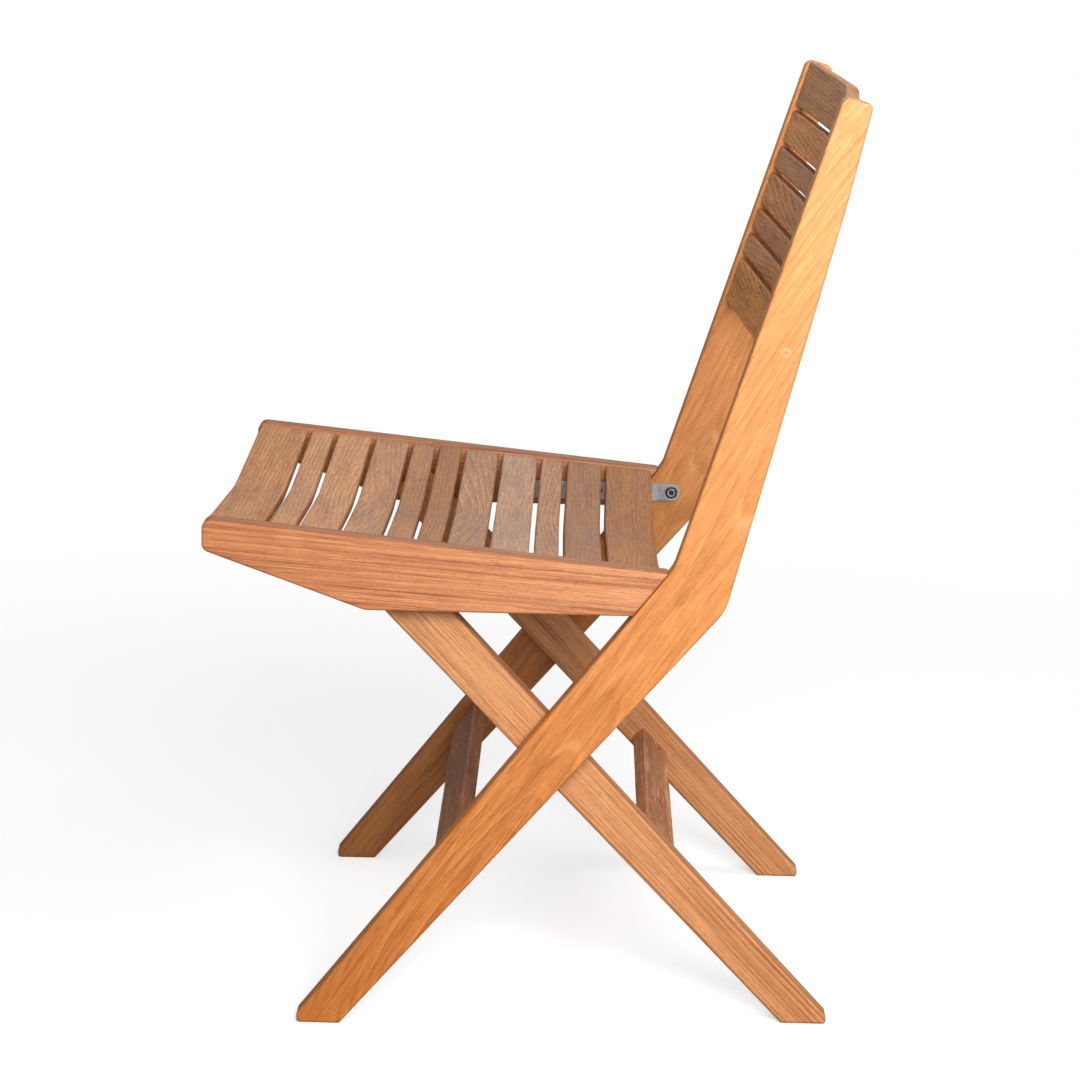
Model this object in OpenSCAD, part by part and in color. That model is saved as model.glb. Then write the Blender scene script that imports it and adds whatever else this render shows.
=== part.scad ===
// Slatted wooden folding chair.
// It stands on z = 0, faces -Y and is the same on both sides of x = 0.
// The bent side posts and the straight rear legs cross like scissors. The seat hangs on a pair
// of steel links behind and on the tops of the rear legs in front, and folds flat to the posts.

/* [Overall] */
// Width over the outer faces of the side posts
chair_w = 514; // [480:1:540]
// Thickness of the side posts and seat rails
board_t = 25; // [24:0.5:28]
// Thickness of the rear legs
leg_t = 25; // [24:0.5:28]
// Gap between a side post and the leg beside it
side_gap = 3.5; // [3.5:0.1:5]

/* [Side posts] */
// Height of the top front corner of a post
post_top_z = 839; // [820:1:850]
// Depth of a post at its top
post_top_depth = 26; // [24:0.5:27]
// Radius of the bend behind the seat
post_knee_r = 45; // [30:1:55]
// Radius of the front corner at the top of a post
post_top_r = 8; // [4:0.5:9]

/* [Seat] */
// Slope of the seat, lower at the back
seat_slope = 5.5; // [4:0.1:6]
// Thickness of the seat slats
seat_slat_t = 12; // [10:0.5:12.5]
// Depth of the hollow in the middle of the seat slats
seat_hollow = 17; // [10:0.5:17]
// Distance of the slats below the top of the rails
seat_recess = 2; // [1:0.5:2.5]
// Gap between two seat slats
seat_gap = 4.5; // [4:0.1:4.5]

/* [Back] */
// Thickness of the back slats
back_slat_t = 13; // [11:0.5:14]
// Depth of the hollow in the middle of the back slats
back_hollow = 20; // [12:0.5:20]
// Distance of the back slats behind the front edge of the posts
back_setback = 3; // [1:0.5:4]
// Gap between two back slats
back_gap = 5; // [4:0.1:5]

/* [Hardware] */
// Thickness of the steel links
link_t = 2.5; // [2:0.1:2.5]
// Width of the steel links
link_w = 18; // [15:0.5:18]
// Diameter of the pins where posts and legs cross
cross_pin_d = 10; // [8:0.5:12]
// Running clearance of a pin or bolt in its hole
running_gap = 0.05; // [0.02:0.01:0.1]

/* [Hidden] */
$fn = 48;
arc_step = 7.5;

// Points of the side view are [y, z]
post_front_foot = [-209, 0];
post_rear_foot = [-164.5, 0];
post_toe_y = -203;
knee_inner = [125.15, 426.14];
knee_outer = [171.2, 388.8];
post_top_front = [257.5, post_top_z];
post_back_bend = [265.3, 755];
post_back_bend_r = 1500;
knee_inner_r = 30;
post_top_rear_r = 4;
foot_r = 3;

// Hinges of the folding linkage
cross_pivot = [19.5, 252];
link_post_pivot = [134.5, 398.3];
link_seat_pivot = [-18.8, 398.3];
leg_seat_pivot = [-130, 404.8];

// Directions of the straight edges of a post
lower_angle = angle_of(knee_inner - post_front_foot);
upper_angle = angle_of(post_top_front - knee_inner);
post_top_rear = post_top_front + post_top_depth * [sin(upper_angle), -cos(upper_angle)];

// Seat rails
rail_kink = [-145, 382.5];
rail_front_y = -288;
rail_stop_gap = 0.5;
rail_kink_angle = 19.5;
rail_back_top = [122, 421.3];
rail_front_r = 8;
rail_kink_r = 20;

// Rear legs
leg_front_foot = [234.5, 0];
leg_rear_foot = [282, 0];
leg_toe_y = 275.5;
leg_lower_edge = 134.05;
leg_upper_edge = 133;
leg_top_reach = 8;
leg_top_r = 18;

// Slats, from front to back and from top to bottom
seat_slat_w = [48, 22.7, 34, 34, 22.5, 22.5, 33.5, 35, 22, 34.5, 46.3];
back_slat_w = [45.9, 32.9, 22.2, 32.9, 21.2, 21.7, 46];
seat_front_y = -284.5;
back_top_margin = 0.5;
slat_bend_r = 500;
slat_tenon_l = 12;
slat_tenon_t = 7;
slat_tenon_shoulder = 4;
tenon_gap = 0.1;

// Stretchers
stretcher_w = 37;
stretcher_t = 15.5;
stretcher_tenon_t = 9;
stretcher_tenon_w = 28;
stretcher_tenon_l = 15;
front_stretcher_at = [-67, 154];
rear_stretcher_at = [119.5, 138.5];

// Layers across the chair, from the outside inwards
post_x = chair_w / 2 - board_t;
leg_outer_x = post_x - side_gap;
leg_x = leg_outer_x - leg_t;
link_x = leg_outer_x + 0.5;

// Hardware
washer_t = side_gap - 0.3;
washer_r = 10;
pin_in_post = 15;
pin_in_leg = 17;
link_bolt_shoulder_r = 4;
link_bolt_thread_r = 3;
link_bolt_l = 13;
link_bolt_head_r = 6;
link_bolt_head_t = 2.5;
hex_key_r = 2.3;
insert_r = 5;
insert_l = 16;
spare_hole_r = 1.6;
spare_hole_at = 71;
top_pin_r = 4;
top_pin_in_leg = 18;
top_pin_stop_gap = 0.5;
bush_r = 6.5;
bush_l = 16;

teak = [0.82, 0.52, 0.27];
dark_teak = [0.62, 0.41, 0.27];
steel = [0.72, 0.73, 0.74];

// ---- Geometry helpers ----

function angle_of(v) = atan2(v.y, v.x);

function heading(a) = [cos(a), sin(a)];

function unit(v) = v / norm(v);

// Height of a straight line through p at angle a, at y
function line_z(p, a, y) = p.y + (y - p.x) * tan(a);

// Position along y of a straight line through p at angle a, at height z
function line_y(p, a, z) = p.x + (z - p.y) / tan(a);

// Point where the line through p at angle a meets the line through q at angle b
function meet(p, a, q, b) =
    let (u = heading(a), v = heading(b), d = q - p)
    p + u * (d.x * v.y - d.y * v.x) / (u.x * v.y - u.y * v.x);

// Angle between -180 and 180 degrees
function short_turn(a) = a > 180 ? a - 360 : a < -180 ? a + 360 : a;

// Arc that rounds the corner b between its neighbours a and c
function corner_arc(a, b, c) =
    let (p = [b[0], b[1]], r = b[2])
    r == 0 ? [p] :
    let (
        u = unit([a[0], a[1]] - p),
        v = unit([c[0], c[1]] - p),
        half = acos(u * v) / 2,
        centre = p + unit(u + v) * r / sin(half),
        start = angle_of(p + u * r / tan(half) - centre),
        turn = short_turn(angle_of(p + v * r / tan(half) - centre) - start),
        steps = ceil(abs(turn) / arc_step) + 1
    )
    [for (k = [0:steps]) centre + r * heading(start + turn * k / steps)];

// Outline whose corners are [y, z, radius]
function rounded(corners) =
    let (n = len(corners))
    [for (i = [0:n - 1]) each corner_arc(corners[(i + n - 1) % n], corners[i], corners[(i + 1) % n])];

// Sum of the first n values of a list
function sum_to(list, n) = n == 0 ? 0 : list[n - 1] + sum_to(list, n - 1);

// Distance from the start of a row of slats to the middle of slat i, counted from 1
function slat_middle(widths, gap, i) = sum_to(widths, i - 1) + gap * (i - 1) + widths[i - 1] / 2;

// Board of a side frame: a side view given its thickness from x outwards
module side_board(corners, x, t) {
    translate([x, 0, 0]) rotate([90, 0, 90]) linear_extrude(t) polygon(rounded(corners));
}

// Round bar along X from x0 to x1
module x_bar(at, x0, x1, r, sides = 48) {
    translate([x0, at.x, at.y]) rotate([0, 90, 0]) cylinder(h = x1 - x0, r = r, $fn = sides);
}

module both_sides() {
    children();
    mirror([1, 0, 0]) children();
}

// ---- Slats ----

// Cross-section along a slat: flat wings that meet in a soft bend at the middle
function slat_corners(depth, recess, t) =
    let (half = post_x)
    [
        [-half, recess, 0], [0, recess + depth, slat_bend_r], [half, recess, 0],
        [half, recess + t, 0], [0, recess + depth + t, slat_bend_r + t], [-half, recess + t, 0]
    ];

// Tenon on the +X end of a slat
module slat_tenon(w, recess, t, grow = 0) {
    x = post_x - 1;
    l = slat_tenon_l + 1 + 3 * grow;
    translate([x, recess + t / 2 - slat_tenon_t / 2 - grow, -w / 2 + slat_tenon_shoulder - grow])
        cube([l, slat_tenon_t + 2 * grow, w - 2 * slat_tenon_shoulder + 2 * grow]);
}

module slat(w, depth, recess, t) {
    linear_extrude(w, center = true) polygon(rounded(slat_corners(depth, recess, t)));
    both_sides() slat_tenon(w, recess, t);
}

// Frame of seat slat i: local Y points down from the rail tops, local Z points back
module on_seat(i) {
    along = slat_middle(seat_slat_w, seat_gap, i);
    y = seat_front_y + along * cos(seat_slope);
    translate([0, y, line_z(rail_back_top, -seat_slope, y)]) rotate([-90 - seat_slope, 0, 0]) children();
}

// Frame of back slat i: local Y points back from the posts' front edges, local Z points up them
module on_back(i) {
    along = back_top_margin + slat_middle(back_slat_w, back_gap, i);
    p = post_top_front - along * heading(upper_angle);
    translate([0, p.x, p.y]) rotate([upper_angle - 90, 0, 0]) children();
}

module seat_slat(i) {
    color(dark_teak) on_seat(i) slat(seat_slat_w[i - 1], seat_hollow, seat_recess, seat_slat_t);
}

module back_slat(i) {
    color(dark_teak) on_back(i) slat(back_slat_w[i - 1], back_hollow, back_setback, back_slat_t);
}

// ---- Stretchers ----

module stretcher(at, angle, half, grow = 0) {
    w = stretcher_tenon_w + 2 * grow;
    t = stretcher_tenon_t + 2 * grow;
    l = 2 * (half + stretcher_tenon_l + 3 * grow);
    translate([0, at.x, at.y]) rotate([angle - 90, 0, 0]) cube([l, t, w], center = true);
}

module front_stretcher() {
    color(teak) {
        stretcher(front_stretcher_at, lower_angle, post_x);
        translate([0, front_stretcher_at.x, front_stretcher_at.y]) rotate([lower_angle - 90, 0, 0])
            cube([2 * post_x, stretcher_t, stretcher_w], center = true);
    }
}

module rear_stretcher() {
    angle = (leg_lower_edge + leg_upper_edge) / 2;
    color(teak) {
        stretcher(rear_stretcher_at, angle, leg_x);
        translate([0, rear_stretcher_at.x, rear_stretcher_at.y]) rotate([angle - 90, 0, 0])
            cube([2 * leg_x, stretcher_t, stretcher_w], center = true);
    }
}

// ---- Side boards, drawn for the +X side ----

module side_post() {
    toe_z = line_z(post_front_foot, lower_angle, post_toe_y);
    color(teak) difference() {
        side_board([
            [post_toe_y, 0, foot_r], [post_rear_foot.x, 0, foot_r],
            [knee_outer.x, knee_outer.y, post_knee_r],
            [post_back_bend.x, post_back_bend.y, post_back_bend_r],
            [post_top_rear.x, post_top_rear.y, post_top_rear_r],
            [post_top_front.x, post_top_front.y, post_top_r],
            [knee_inner.x, knee_inner.y, knee_inner_r],
            [post_toe_y, toe_z, foot_r]
        ], post_x, board_t);
        for (i = [1:len(back_slat_w)])
            on_back(i) slat_tenon(back_slat_w[i - 1], back_setback, back_slat_t, tenon_gap);
        stretcher(front_stretcher_at, lower_angle, post_x, tenon_gap);
        x_bar(cross_pivot, post_x - 1, post_x + pin_in_post, cross_pin_d / 2);
        x_bar(link_post_pivot, post_x - 1, post_x + insert_l, insert_r);
    }
}

module seat_rail() {
    front_low = line_z(rail_kink, -rail_kink_angle, rail_front_y);
    front_high = line_z(rail_back_top, -seat_slope, rail_front_y);
    stop = knee_inner - [rail_stop_gap, 0];
    back_top = meet(stop, lower_angle, rail_back_top, -seat_slope);
    back_low_y = line_y(stop, lower_angle, rail_kink.y);
    color(teak) difference() {
        side_board([
            [rail_front_y, front_low, rail_front_r], [rail_kink.x, rail_kink.y, rail_kink_r],
            [back_low_y, rail_kink.y, 0], [back_top.x, back_top.y, 0],
            [rail_front_y, front_high, rail_front_r]
        ], post_x, board_t);
        for (i = [1:len(seat_slat_w)])
            on_seat(i) slat_tenon(seat_slat_w[i - 1], seat_recess, seat_slat_t, tenon_gap);
        x_bar(link_seat_pivot, post_x - 1, post_x + insert_l, insert_r);
        x_bar(leg_seat_pivot, post_x - 1, post_x + bush_l, bush_r);
    }
}

module rear_leg() {
    axis = (leg_lower_edge + leg_upper_edge) / 2;
    end = leg_seat_pivot + leg_top_reach * heading(axis);
    top_low = meet(end, axis + 90, leg_front_foot, leg_lower_edge);
    top_high = meet(end, axis + 90, leg_rear_foot, leg_upper_edge);
    toe_z = line_z(leg_rear_foot, leg_upper_edge, leg_toe_y);
    color(teak) difference() {
        side_board([
            [leg_front_foot.x, 0, foot_r], [leg_toe_y, 0, foot_r], [leg_toe_y, toe_z, foot_r],
            [top_high.x, top_high.y, leg_top_r], [top_low.x, top_low.y, leg_top_r]
        ], leg_x, leg_t);
        stretcher(rear_stretcher_at, axis, leg_x, tenon_gap);
        x_bar(cross_pivot, leg_outer_x - pin_in_leg - 0.5, leg_outer_x + 1, cross_pin_d / 2 + running_gap);
        x_bar(leg_seat_pivot, leg_outer_x - top_pin_in_leg, leg_outer_x + 1, top_pin_r);
    }
}

module side_post_left() {
    side_post();
}

module side_post_right() {
    mirror([1, 0, 0]) side_post();
}

module seat_rail_left() {
    seat_rail();
}

module seat_rail_right() {
    mirror([1, 0, 0]) seat_rail();
}

module rear_leg_left() {
    rear_leg();
}

module rear_leg_right() {
    mirror([1, 0, 0]) rear_leg();
}

// ---- Folding hardware ----

module hinge_link() {
    length = norm(link_post_pivot - link_seat_pivot);
    spare = link_post_pivot - [spare_hole_at, 0];
    hole_r = link_bolt_shoulder_r + running_gap;
    color(steel) difference() {
        union() {
            x_bar(link_post_pivot, link_x, link_x + link_t, link_w / 2);
            x_bar(link_seat_pivot, link_x, link_x + link_t, link_w / 2);
            translate([link_x, link_seat_pivot.x, link_seat_pivot.y - link_w / 2])
                cube([link_t, length, link_w]);
        }
        x_bar(link_post_pivot, link_x - 1, link_x + link_t + 1, hole_r);
        x_bar(link_seat_pivot, link_x - 1, link_x + link_t + 1, hole_r);
        x_bar(spare, link_x - 1, link_x + link_t + 1, spare_hole_r);
    }
}

module hinge_link_left() {
    hinge_link();
}

module hinge_link_right() {
    mirror([1, 0, 0]) hinge_link();
}

// Socket-head shoulder bolt that carries one end of a link
module link_bolt(at) {
    head_x = link_x - 0.2;
    difference() {
        union() {
            x_bar(at, head_x - link_bolt_head_t, head_x, link_bolt_head_r);
            x_bar(at, head_x, post_x, link_bolt_shoulder_r);
            x_bar(at, post_x, post_x + link_bolt_l, link_bolt_thread_r);
        }
        x_bar(at, head_x - link_bolt_head_t - 1, head_x + 1, hex_key_r, 6);
    }
}

module link_post_bolts() {
    color(steel) both_sides() link_bolt(link_post_pivot);
}

module link_seat_bolts() {
    color(steel) both_sides() link_bolt(link_seat_pivot);
}

// Threaded insert, flush with the inner face of a board
module insert(at) {
    difference() {
        x_bar(at, post_x, post_x + insert_l, insert_r);
        x_bar(at, post_x - 1, post_x + link_bolt_l, link_bolt_thread_r);
    }
}

module post_inserts() {
    color(steel) both_sides() insert(link_post_pivot);
}

module rail_inserts() {
    color(steel) both_sides() insert(link_seat_pivot);
}

module cross_pivot_pins() {
    color(steel) both_sides()
        x_bar(cross_pivot, leg_outer_x - pin_in_leg, post_x + pin_in_post, cross_pin_d / 2);
}

module cross_pivot_washers() {
    color(steel) both_sides() difference() {
        x_bar(cross_pivot, post_x - washer_t, post_x, washer_r);
        x_bar(cross_pivot, post_x - washer_t - 1, post_x + 1, cross_pin_d / 2);
    }
}

module leg_top_pins() {
    color(steel) both_sides()
        x_bar(leg_seat_pivot, leg_outer_x - top_pin_in_leg, post_x - top_pin_stop_gap, top_pin_r);
}

module rail_pivot_bushes() {
    color(steel) both_sides() difference() {
        x_bar(leg_seat_pivot, post_x, post_x + bush_l, bush_r);
        x_bar(leg_seat_pivot, post_x - 1, post_x + bush_l - 2, top_pin_r + running_gap);
    }
}

// ---- Nodes ----

side_post_left();
side_post_right();
for (i = [1:len(back_slat_w)])
    back_slat(i);
front_stretcher();
cross_pivot_pins();
cross_pivot_washers();
post_inserts();
link_post_bolts();
hinge_link_left();
hinge_link_right();
seat_rail_left();
seat_rail_right();
for (i = [1:len(seat_slat_w)])
    seat_slat(i);
rail_inserts();
link_seat_bolts();
rail_pivot_bushes();
rear_leg_left();
rear_leg_right();
rear_stretcher();
leg_top_pins();
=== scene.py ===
"""Looks of the slatted wooden folding chair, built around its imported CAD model."""

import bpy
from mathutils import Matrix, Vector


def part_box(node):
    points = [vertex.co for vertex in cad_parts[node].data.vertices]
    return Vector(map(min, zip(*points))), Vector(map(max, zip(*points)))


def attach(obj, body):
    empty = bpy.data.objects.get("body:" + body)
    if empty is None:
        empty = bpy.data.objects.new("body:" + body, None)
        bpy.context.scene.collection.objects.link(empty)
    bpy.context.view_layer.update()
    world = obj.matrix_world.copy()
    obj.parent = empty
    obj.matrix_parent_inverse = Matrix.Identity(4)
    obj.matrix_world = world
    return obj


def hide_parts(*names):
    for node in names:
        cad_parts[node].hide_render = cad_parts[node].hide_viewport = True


bl_info = {
    "name": "Slatted Folding Chair",
    "version": (1, 0, 0),
    "blender": (4, 5, 0),
    "location": "3D View > Sidebar > Chair",
    "description": "Builds the boards, slats and hinges of a wooden folding chair and its studio",
    "category": "Add Mesh",
}

import math
import random
from collections import defaultdict

import bmesh
import bpy
from bpy.props import FloatProperty, FloatVectorProperty, PointerProperty
from bpy.types import Operator, Panel, PropertyGroup
from mathutils import Matrix, Vector

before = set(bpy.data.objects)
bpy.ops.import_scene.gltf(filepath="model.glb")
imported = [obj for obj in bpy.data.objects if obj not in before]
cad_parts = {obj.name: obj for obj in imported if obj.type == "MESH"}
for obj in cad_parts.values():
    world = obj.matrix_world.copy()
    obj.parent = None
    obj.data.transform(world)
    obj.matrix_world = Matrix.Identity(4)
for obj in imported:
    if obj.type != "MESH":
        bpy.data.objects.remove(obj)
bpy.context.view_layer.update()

SIDES = {"left": 1, "right": -1}
SEAT_SLATS = [f"seat_slat_{i}" for i in range(1, 12)]
BACK_SLATS = [f"back_slat_{i}" for i in range(1, 8)]
STEEL_PARTS = ["cross_pivot_pins", "post_inserts", "rail_inserts", "leg_top_pins"]
NYLON_PARTS = ["cross_pivot_washers", "rail_pivot_bushes"]
MM = 0.001
BOARD_SPACING = 977.0  # along the grain, in millimetres, between the figures of two boards
POST_KNEE = (0.115, 0.365)  # y and z of the bend, where the arched figure has its middle
RAIL_GRAIN = math.radians(-4)
LEG_GRAIN = math.radians(133.5)
STREAK_FADE = (0.15, 0.6, 0.78, 0.22)  # low and high place on a post, and the streaks there
SLAT_BEND_RADIUS = 0.5  # of the hollow's round bottom, in metres
FLOOR_HALF = 40.0
FLOOR_TINT = 0.62
FLOOR_GLOW = 0.52

# Place in the log, and tone and warmth at the bend with their growth along X, Y and Z. Part of the
# tone and warmth is painted shade: both posts grow darker and warmer towards the floor, and the far
# right post is darker still.
POST_GRAIN_AND_SHADE = {
    "left": ((0, 0, 0.034), (0.13, 0, 0, -0.42), (0.64, 0, 0, -0.65)),
    "right": ((0.08, 0.012, 0.055), (0.25, 0, 0, -0.90), (0.60, 0, 0, -0.35)),
}


# ---- Settings ----

def colour(label, default):
    """Property of a wood or metal colour."""
    return FloatVectorProperty(
        name=label, description=f"{label}, linear", default=default, subtype="COLOR", min=0, max=1)


def length(label, default, words):
    """Property of a size in metres."""
    return FloatProperty(
        name=label, description=words, default=default, min=0, unit="LENGTH", precision=4)


def angle(label, degrees, words):
    """Property of an angle."""
    return FloatProperty(
        name=label, description=words, default=math.radians(degrees), unit="ROTATION")


def amount(label, default, words):
    """Property of a plain number."""
    return FloatProperty(name=label, description=words, default=default)


class ChairWoodSettings(PropertyGroup):
    """Colours and edges of the teak boards."""
    post_pale: colour("Post, early wood", (0.80, 0.41, 0.165))
    post_deep: colour("Post, late wood", (0.50, 0.215, 0.055))
    rail_pale: colour("Rail, early wood", (0.66, 0.31, 0.145))
    rail_deep: colour("Rail, late wood", (0.34, 0.125, 0.05))
    leg_pale: colour("Leg, early wood", (0.68, 0.34, 0.15))
    leg_deep: colour("Leg, late wood", (0.38, 0.155, 0.058))
    stretcher_pale: colour("Stretcher, early wood", (0.50, 0.25, 0.13))
    stretcher_deep: colour("Stretcher, late wood", (0.26, 0.11, 0.05))
    seat_pale: colour("Seat slat, early wood", (0.63, 0.325, 0.155))
    seat_deep: colour("Seat slat, late wood", (0.33, 0.15, 0.07))
    back_pale: colour("Back slat, early wood", (0.74, 0.365, 0.155))
    back_deep: colour("Back slat, late wood", (0.38, 0.15, 0.055))
    board_edge: length("Board edge", 2.6 * MM, "Radius of the edges of posts and rails")
    leg_edge: length("Leg edge", 3.6 * MM, "Radius of the edges of the rear legs")
    slat_edge: length("Slat edge", 2.4 * MM, "Radius of the edges of slats and stretchers")
    post_grain: angle("Post grain", 56, "Direction of the grain of a side post from the floor")
    knot_y: length("Knot y", 215.5 * MM, "Place of the filled knot in the left post")
    knot_z: length("Knot z", 618.8 * MM, "Height of the filled knot in the left post")
    knot_size: length("Knot size", 4.2 * MM, "Radius of the filled knot")


class ChairMetalSettings(PropertyGroup):
    """Finish of the folding hardware."""
    steel: colour("Stainless steel", (0.50, 0.50, 0.51))
    # Near-black steel: painted shade in a bolt's socket, and the dark ring on the head's side and
    # groove.
    near_black: colour("Near-black steel", (0.05, 0.05, 0.055))
    nylon: colour("Nylon", (0.025, 0.025, 0.027))
    plate_edge: length("Plate edge", 0.8 * MM, "Radius of the edges of the steel links")
    head_radius: length("Bolt head radius", 6.0 * MM, "Radius of the head of a link bolt")
    head_height: length("Bolt head height", 2.5 * MM, "Height of the head of a link bolt")
    head_gap: length("Bolt head gap", 0.2 * MM, "Play between a bolt head and its link")
    socket_radius: length("Socket radius", 2.3 * MM, "Half width of the six-sided socket")


class ChairStageSettings(PropertyGroup):
    """Studio and camera."""
    camera_x: length("Camera x", 3.0202, "Distance of the camera from the middle of the chair")
    camera_y: length("Camera y", 0.0406, "Place of the camera towards the back of the chair")
    camera_z: length("Camera z", 1.0398, "Height of the camera")
    camera_turn: angle("Camera turn", 0.685, "Turn of the camera towards the front of the chair")
    camera_pitch: angle("Camera pitch", 12.06, "Tilt of the camera below the horizon")
    camera_roll: angle("Camera roll", 1.205, "Roll of the camera")
    camera_lens: amount("Camera lens", 108.19, "Focal length in millimetres on a 36 mm sensor")
    key_power: amount("Key light", 101.0, "Power of the large light beside the chair, in watts")
    top_power: amount("Top light", 22.0, "Power of the light above the chair, in watts")
    side_power: amount("Side light", 4.5, "Power of the low light across the chair, in watts")
    front_power: amount("Front light", 14.0, "Power of the light before the chair, in watts")
    sky: amount("Sky", 0.26, "Strength of the even light from all round")
    floor_bounce: amount("Floor bounce", 0.30, "Share of light that the floor gives back")


# ---- Reading shapes from the frame ----

def merged(node):
    """Mesh of a CAD node with its loose triangles joined."""
    mesh = bmesh.new()
    mesh.from_mesh(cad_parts[node].data)
    bmesh.ops.remove_doubles(mesh, verts=mesh.verts, dist=1e-6)
    return mesh


def largest_flat(mesh, wanted):
    """Faces of the largest flat area whose normal passes the test."""
    groups = defaultdict(list)
    for face in mesh.faces:
        if face.calc_area() > 0 and wanted(face.normal):
            where = round(face.normal.dot(face.verts[0].co), 5)
            groups[(*(round(x, 2) for x in face.normal), where)].append(face)
    return max(groups.values(), key=lambda faces: sum(f.calc_area() for f in faces))


def rim(faces):
    """Points round the outer edge of a flat set of faces, in order."""
    inside = set(faces)
    following = {}
    for face in faces:
        for loop in face.loops:
            if not any(other in inside for other in loop.edge.link_faces if other is not face):
                following[loop.vert] = loop.link_loop_next.vert
    loops = []
    while following:
        start, vert = next(iter(following.items()))
        loop = [start.co.copy()]
        del following[start]
        while vert is not start:
            loop.append(vert.co.copy())
            vert = following.pop(vert)
        loops.append(loop)
    return max(loops, key=lambda points: sum((p - q).length for p, q in zip(points, points[1:])))


def side_outline(node, direction):
    """Outline of the largest flat side of a node that looks along a direction."""
    mesh = merged(node)
    axis = Vector(direction)
    points = rim(largest_flat(mesh, lambda n: n.dot(axis) > 0.999))
    mesh.free()
    return points


class SlatShape:
    """Sizes of one slat, read from its CAD node in a frame that lies on its flat back."""

    def __init__(self, node):
        mesh = merged(node)
        end = largest_flat(mesh, lambda n: abs(n.x) < 1e-4 and n.y > 0.2)
        self.tilt = math.atan2(end[0].normal.z, end[0].normal.y)
        local = [Matrix.Rotation(-self.tilt, 3, "X") @ v.co for v in mesh.verts]
        mesh.free()
        top = max(p.z for p in local)
        self.half_span = max(p.x for p in local if p.z > top - 1e-5)
        shoulder = [p.z for p in local if abs(p.x - self.half_span) < 1e-5]
        self.thickness = max(shoulder) - min(shoulder)
        self.hollow = top - self.thickness - min(p.z for p in local)
        low, high = min(p.y for p in local), max(p.y for p in local)
        self.width = high - low
        self.middle = Matrix.Rotation(self.tilt, 3, "X") @ Vector((0, (low + high) / 2, top))


# ---- Node trees ----

def new_tree(name, kind, inputs, outputs):
    """Node group with named sockets, and its input and output nodes."""
    tree = bpy.data.node_groups.new(name, kind)
    for label, socket, default in inputs:
        made = tree.interface.new_socket(label, in_out="INPUT", socket_type=socket)
        if default is not None:
            made.default_value = default
    for label, socket in outputs:
        tree.interface.new_socket(label, in_out="OUTPUT", socket_type=socket)
    return tree, tree.nodes.new("NodeGroupInput"), tree.nodes.new("NodeGroupOutput")


def feed(tree, socket, value):
    """Links a socket to a socket, or sets it to a value."""
    if isinstance(value, bpy.types.NodeSocket):
        tree.links.new(value, socket)
    else:
        socket.default_value = value


def add(tree, kind, values=(), **settings):
    """Node with its settings, and its inputs fed by name or number."""
    node = tree.nodes.new(kind)
    for name, value in settings.items():
        setattr(node, name, value)
    for name, value in dict(values).items():
        feed(tree, node.inputs[name], value)
    return node


def maths(tree, operation, *values):
    """Output of a Math node."""
    node = add(tree, "ShaderNodeMath", dict(enumerate(values)), operation=operation)
    return node.outputs[0]


def vector_maths(tree, operation, *values):
    """Output of a Vector Math node."""
    node = add(tree, "ShaderNodeVectorMath", dict(enumerate(values)), operation=operation)
    return node.outputs[0]


def ramp(tree, value, low, high, to_low=0.0, to_high=1.0):
    """Value moved smoothly from one range to another."""
    node = add(
        tree, "ShaderNodeMapRange",
        {"Value": value, "From Min": low, "From Max": high, "To Min": to_low, "To Max": to_high},
        interpolation_type="SMOOTHSTEP")
    return node.outputs["Result"]


def blend(tree, share, first, second, mode="MIX"):
    """Colour mixed from two."""
    node = tree.nodes.new("ShaderNodeMix")
    node.data_type = "RGBA"
    node.blend_type = mode
    feed(tree, node.inputs["Factor"], share)
    feed(tree, node.inputs[6], first)
    feed(tree, node.inputs[7], second)
    return node.outputs[2]


def fibres(tree, position, along, across, detail=2.0):
    """Noise drawn out along the grain; the two sizes are its length and width in millimetres."""
    stretched = vector_maths(tree, "MULTIPLY", position, (1 / along, 1 / across, 1 / across))
    node = add(
        tree, "ShaderNodeTexNoise",
        {"Vector": stretched, "Scale": 1.0, "Detail": detail, "Roughness": 0.55})
    return node.outputs["Fac"]


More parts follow.
